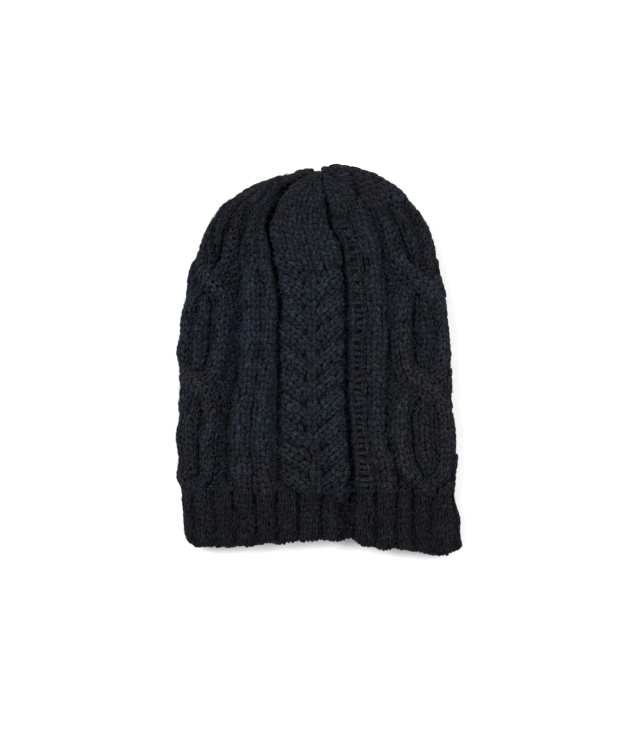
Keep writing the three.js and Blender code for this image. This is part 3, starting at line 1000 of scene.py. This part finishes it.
def mapped(tree, value, start, end):
    """A value carried over from the range start to the range end."""
    node = new_node(tree, "MapRange", {
        "Value": value, "From Min": start[0], "From Max": start[1], "To Min": end[0], "To Max": end[1]})
    return node.outputs["Result"]


def maths(tree, operation, *values):
    return new_node(tree, "Math", dict(enumerate(values)), operation=operation).outputs[0]


def scaled(tree, colour, factor):
    node = new_node(tree, "VectorMath", {0: colour, "Scale": factor}, operation="SCALE")
    return node.outputs["Vector"]


def blended(tree, factor, low, high):
    """The colour between two that a factor picks. low and high are each a factor and its colour."""
    node = new_node(tree, "ValToRGB", {"Fac": factor})
    for stop, (position, colour) in zip(node.color_ramp.elements, (low, high)):
        stop.position = position
        stop.color = colour
    return node.outputs["Color"]


NAVY = (0.0080, 0.0108, 0.0162, 1)
CHARCOAL = (0.0089, 0.0091, 0.0113, 1)
BLUEST = (-0.03, 0.025, 0.03)  # the place where the yarn is bluest, in metres


def yarn_colour(tree, place, fleck, lightness):
    """Soft patches of navy and charcoal, with the pale and dark flecks that the yarn's hairs make."""
    patches = noise(tree, place, 40, 5, 0.6)
    # The yarn is greyer away from the middle of the front, towards its right side and the brim.
    away = new_node(tree, "VectorMath", {0: place, 1: BLUEST}, operation="DISTANCE").outputs["Value"]
    blue = maths(tree, "ADD", patches, mapped(tree, away, (0, 0.14), (0.15, -0.08)))
    colour = blended(tree, blue, (0.42, CHARCOAL), (0.58, NAVY))
    return scaled(tree, colour, mapped(tree, fleck, (0.40, 0.63), (0.05 * lightness, 2.55 * lightness)))


def ply_shading(tree, colour, fleck):
    """The colour with painted shade and highlight, darker between the yarn's plies and lighter on them, and
    darker where a stitch lies deep, and the plies' height.
    """
    strand = new_node(tree, "UVMap", uv_map="strand")
    twist = new_node(tree, "Mapping", {
        "Vector": strand.outputs["UV"], "Scale": (3.6, 1.2, 1), "Rotation": (0, 0, math.radians(35))})
    plies = new_node(tree, "TexWave", {
        "Vector": twist.outputs["Vector"], "Scale": 0.5, "Distortion": 0.8, "Detail": 1}).outputs["Fac"]
    shade_and_tone = new_node(tree, "Attribute", attribute_name="shade_and_tone").outputs["Fac"]
    shade = maths(tree, "MULTIPLY", shade_and_tone, mapped(tree, plies, (0, 1), (0.74, 1.24)))
    return scaled(tree, colour, shade), maths(tree, "MULTIPLY_ADD", plies, 0.35, fleck)


def new_material(name):
    material = bpy.data.materials.new(name)
    material.use_nodes = True
    material.node_tree.nodes.clear()
    return material, material.node_tree


def add_surface(tree, inputs):
    shader = new_node(tree, "BsdfPrincipled", inputs)
    new_node(tree, "OutputMaterial", {"Surface": shader.outputs["BSDF"]})


def yarn_material(name, plied, lightness=1.0):
    material, tree = new_material(name)
    place = new_node(tree, "TexCoord").outputs["Object"]
    height = noise(tree, place, 900, 4, 0.7)
    colour = yarn_colour(tree, place, height, lightness)
    if plied:
        colour, height = ply_shading(tree, colour, height)
    bump = new_node(tree, "Bump", {"Strength": 0.9, "Distance": 0.0006, "Height": height})
    add_surface(tree, {
        "Base Color": colour, "Normal": bump.outputs["Normal"], "Roughness": 0.9, "Specular IOR Level": 0.06,
        "Sheen Weight": 0.08, "Sheen Roughness": 0.5, "Sheen Tint": (0.25, 0.28, 0.36, 1)})
    return material


def floor_material():
    material, tree = new_material("white_surface")
    grain = new_node(tree, "TexNoise", {"Scale": 300}).outputs["Fac"]
    white = blended(tree, grain, (0, (0.86, 0.86, 0.86, 1)), (1, (0.90, 0.90, 0.90, 1)))
    add_surface(tree, {"Base Color": white, "Roughness": 0.9, "Specular IOR Level": 0.1})
    return material


def add_camera():
    data = bpy.data.cameras.new("camera")
    data.sensor_width = SENSOR
    data.lens = SENSOR * CAMERA_HEIGHT / (IMAGE_HEIGHT * MM_PER_PIXEL * MM)
    camera = add_object("camera", data)
    x = (IMAGE_WIDTH / 2 - OUTLINE_MIDDLE[0]) * MM_PER_PIXEL * MM
    y = (OUTLINE_MIDDLE[1] - IMAGE_HEIGHT / 2) * MM_PER_PIXEL * MM
    camera.location = (x, y, CAMERA_HEIGHT)
    bpy.context.scene.camera = camera


def add_light(name, location, size, power):
    data = bpy.data.lights.new(name, "AREA")
    data.shape = "DISK"
    data.size = size
    data.energy = power
    lamp = add_object(name, data)
    lamp.location = location
    lamp.rotation_euler = (-Vector(location)).to_track_quat("-Z", "Y").to_euler()


def add_studio():
    add_light("left_softbox", (-1.3, 0.7, 1.5), 1.4, 50)
    add_light("right_softbox", (1.3, 0.3, 1.5), 1.4, 36)
    world = bpy.data.worlds.new("studio")
    world.use_nodes = True
    back = world.node_tree.nodes["Background"]
    back.inputs["Color"].default_value = (1, 1, 1, 1)
    back.inputs["Strength"].default_value = 0.65
    bpy.context.scene.world = world
    bpy.context.scene.view_settings.view_transform = "Standard"
    mesh = bpy.data.meshes.new("floor")
    reach = FLOOR_REACH
    corners = [(-reach, -reach, 0), (reach, -reach, 0), (reach, reach, 0), (-reach, reach, 0)]
    mesh.from_pydata(corners, [], [(0, 1, 2, 3)])
    mesh.materials.append(floor_material())
    add_object("floor", mesh)


def add_hat():
    plied = yarn_material("plied_yarn", True)
    # The cloth behind the stitches is the yarn at 0.7 of its lightness: painted shade.
    ground = knitted_ground(yarn_material("shaded_ground_yarn", False, 0.7))
    body = []
    for layer, back in (("front", False), ("back", True)):
        for panel, side in ((0, "left"), (4, "right")):
            body.append(oval_cable(panel, back).mesh(f"oval_cable_{side}_{layer}", plied))
        for panel, side in ((1, "left"), (3, "right")):
            body.append(rib_pair(panel, back).mesh(f"rib_pair_{side}_{layer}", plied))
        body.append(leaf_cable(back).mesh(f"leaf_cable_{layer}", plied))
        body.append(purl_ground(back).mesh(f"purl_ground_{layer}", plied))
    crown = [crown_courses().mesh("crown_courses", plied), gather().mesh("gather", plied)]
    brim = [brim_ribs(OUTER, False).mesh("brim_ribs", plied),
            brim_ribs(INNER, True).mesh("brim_ribs_inside", plied),
            hem_edge().mesh("hem_edge", plied)]
    hairs = fibres(yarn_material("loose_fibre", False, 2.2))
    for piece in (ground, hairs, *body, *crown, *brim):
        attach(piece, "root")
    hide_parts("cable_body")
    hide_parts("gathered_crown")
    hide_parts("rib_brim")


add_camera()
add_studio()
add_hat()
